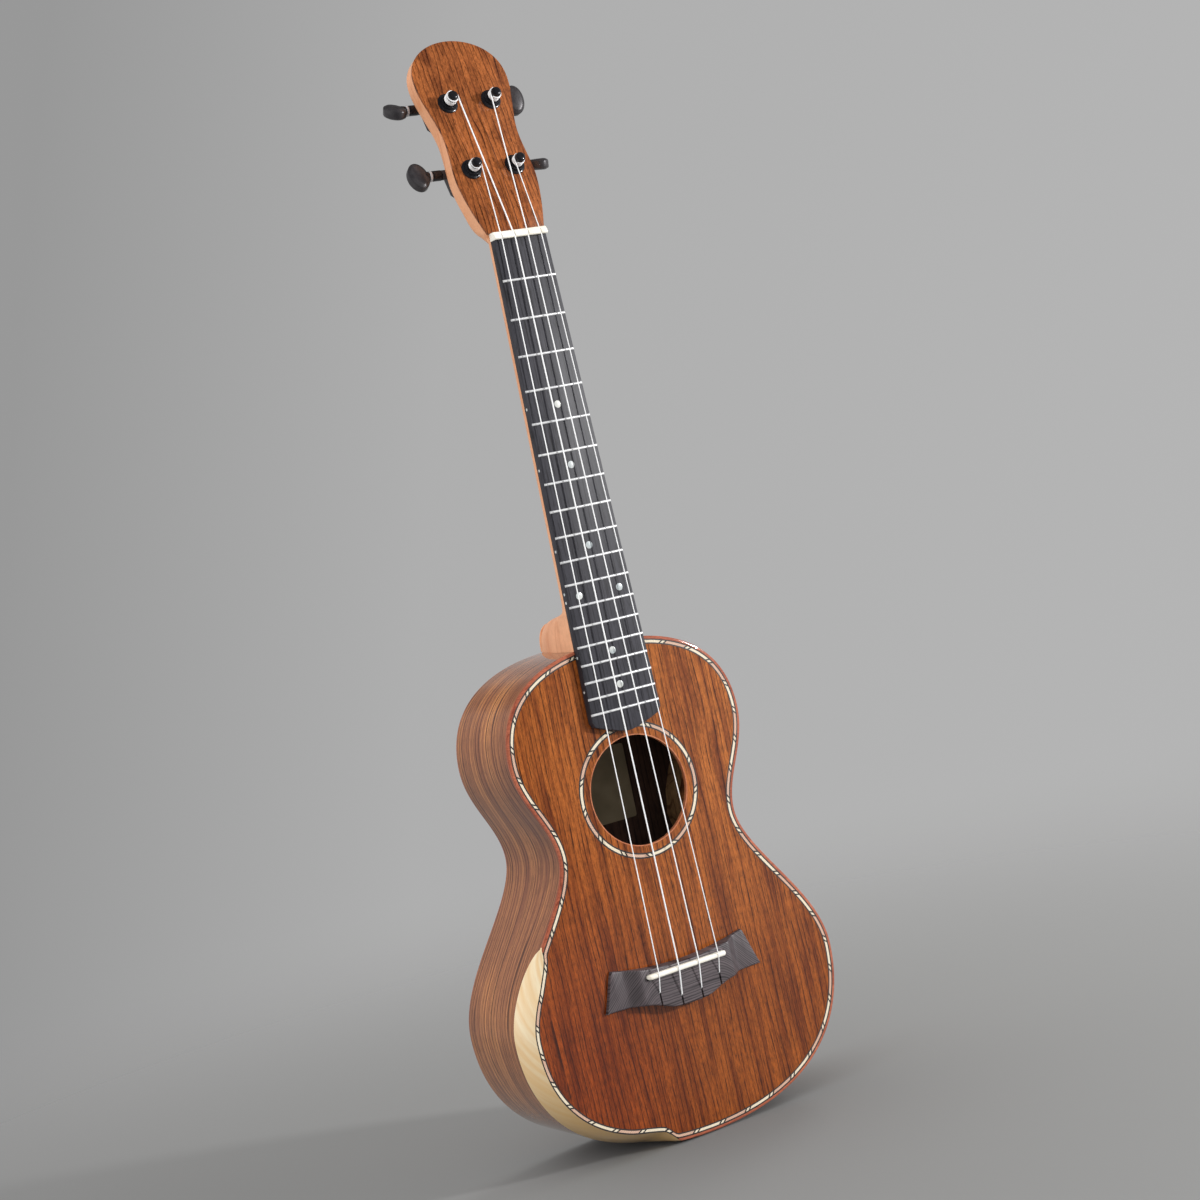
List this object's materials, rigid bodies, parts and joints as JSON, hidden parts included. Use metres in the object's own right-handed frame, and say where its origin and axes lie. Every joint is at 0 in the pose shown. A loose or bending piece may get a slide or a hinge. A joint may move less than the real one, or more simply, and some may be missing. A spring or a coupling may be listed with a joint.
{
  "type": "tenor ukulele",
  "caption": "Tenor ukulele with a waisted hollow body, round soundhole, armrest bevel, fretted neck and geared tuners.",
  "frame": {"origin": "on the centre line, at the nut's front edge, in the plane of the soundboard's face", "axes": "+Z along the strings towards the head, -Y out of the front, +Y towards the back, +X to the right seen from the front"},
  "size_m": [0.2134, 0.0881, 0.6566],
  "materials": {
    "top_wood": "gloss lacquer over brown figured hardwood, dark streaks along the grain",
    "side_wood": "gloss lacquer over striped brown hardwood",
    "neck_wood": "satin finish over pale reddish wood",
    "face_wood": "gloss lacquer over walnut brown veneer",
    "inner_wood": "bare",
    "bevel_wood": "gloss lacquer over pale flamed maple",
    "dark_wood": "satin, near black with fine stripes",
    "binding": "gloss lacquer over reddish binding",
    "inlay": "gloss lacquer over cream, tan and black marquetry",
    "paper": "matte paper",
    "bone": "polished ivory colour",
    "nylon": "translucent white",
    "black_metal": "gloss black plate",
    "brass": "machined",
    "silver": "polished"
  },
  "bodies": {
    "root": {"soundboard": "top_wood", "sides": "side_wood", "back_plate": "side_wood", "neck": "neck_wood", "head_veneer": "face_wood", "neck_block": "inner_wood", "tail_block": "inner_wood", "top_lining_left": "inner_wood", "top_lining_right": "inner_wood", "back_lining_left": "inner_wood", "back_lining_right": "inner_wood", "upper_brace": "inner_wood", "fan_bracing": "inner_wood", "bridge_plate": "inner_wood", "back_brace_upper": "inner_wood", "back_brace_lower": "inner_wood", "armrest_bevel": "bevel_wood", "fingerboard": "dark_wood", "bridge": "dark_wood", "heel_cap": "neck_wood", "top_binding": "binding", "back_binding": "binding", "top_purfling": "inlay", "rosette": "inlay", "label": "paper", "nut": "bone", "saddle": "bone", "string_1": "nylon", "string_2": "nylon", "string_3": "nylon", "string_4": "nylon", "tuner_housing_1": "black_metal", "bushing_1": "black_metal", "tuner_housing_2": "black_metal", "bushing_2": "black_metal", "tuner_housing_3": "black_metal", "bushing_3": "black_metal", "tuner_housing_4": "black_metal", "bushing_4": "black_metal"},
    "button_1_shaft": {"button_1": "black_metal", "worm_1": "silver"},
    "post_1_spindle": {"post_1": "black_metal", "gear_1": "brass", "winding_1": "nylon"},
    "button_2_shaft": {"button_2": "black_metal", "worm_2": "silver"},
    "post_2_spindle": {"post_2": "black_metal", "gear_2": "brass", "winding_2": "nylon"},
    "button_3_shaft": {"button_3": "black_metal", "worm_3": "silver"},
    "post_3_spindle": {"post_3": "black_metal", "gear_3": "brass", "winding_3": "nylon"},
    "button_4_shaft": {"button_4": "black_metal", "worm_4": "silver"},
    "post_4_spindle": {"post_4": "black_metal", "gear_4": "brass", "winding_4": "nylon"}
  },
  "joints": [
    {"name": "button_1_turn", "type": "hinge", "parent": "root", "child": "button_1_shaft", "pos_m": [-0.01435, 0.0268, 0.04714], "axis": [-1, 0, 0], "continuous": true},
    {"name": "post_1_turn", "type": "hinge", "parent": "root", "child": "post_1_spindle", "pos_m": [-0.01435, 0.00854, 0.04463], "axis": [0, -0.9681, 0.2504], "continuous": true},
    {"name": "button_2_turn", "type": "hinge", "parent": "root", "child": "button_2_shaft", "pos_m": [-0.01435, 0.03767, 0.08916], "axis": [-1, 0, 0], "continuous": true},
    {"name": "post_2_turn", "type": "hinge", "parent": "root", "child": "post_2_spindle", "pos_m": [-0.01435, 0.01941, 0.08665], "axis": [0, -0.9681, 0.2504], "continuous": true},
    {"name": "button_3_turn", "type": "hinge", "parent": "root", "child": "button_3_shaft", "pos_m": [0.01435, 0.03767, 0.08916], "axis": [1, 0, 0], "continuous": true},
    {"name": "post_3_turn", "type": "hinge", "parent": "root", "child": "post_3_spindle", "pos_m": [0.01435, 0.01941, 0.08665], "axis": [0, -0.9681, 0.2504], "continuous": true},
    {"name": "button_4_turn", "type": "hinge", "parent": "root", "child": "button_4_shaft", "pos_m": [0.01435, 0.0268, 0.04714], "axis": [1, 0, 0], "continuous": true},
    {"name": "post_4_turn", "type": "hinge", "parent": "root", "child": "post_4_spindle", "pos_m": [0.01435, 0.00854, 0.04463], "axis": [0, -0.9681, 0.2504], "continuous": true}
  ],
  "couplings": [
    {"joint": "post_1_turn", "follows": "button_1_turn", "ratio": -0.071429},
    {"joint": "post_2_turn", "follows": "button_2_turn", "ratio": -0.071429},
    {"joint": "post_3_turn", "follows": "button_3_turn", "ratio": 0.071429},
    {"joint": "post_4_turn", "follows": "button_4_turn", "ratio": 0.071429}
  ]
}
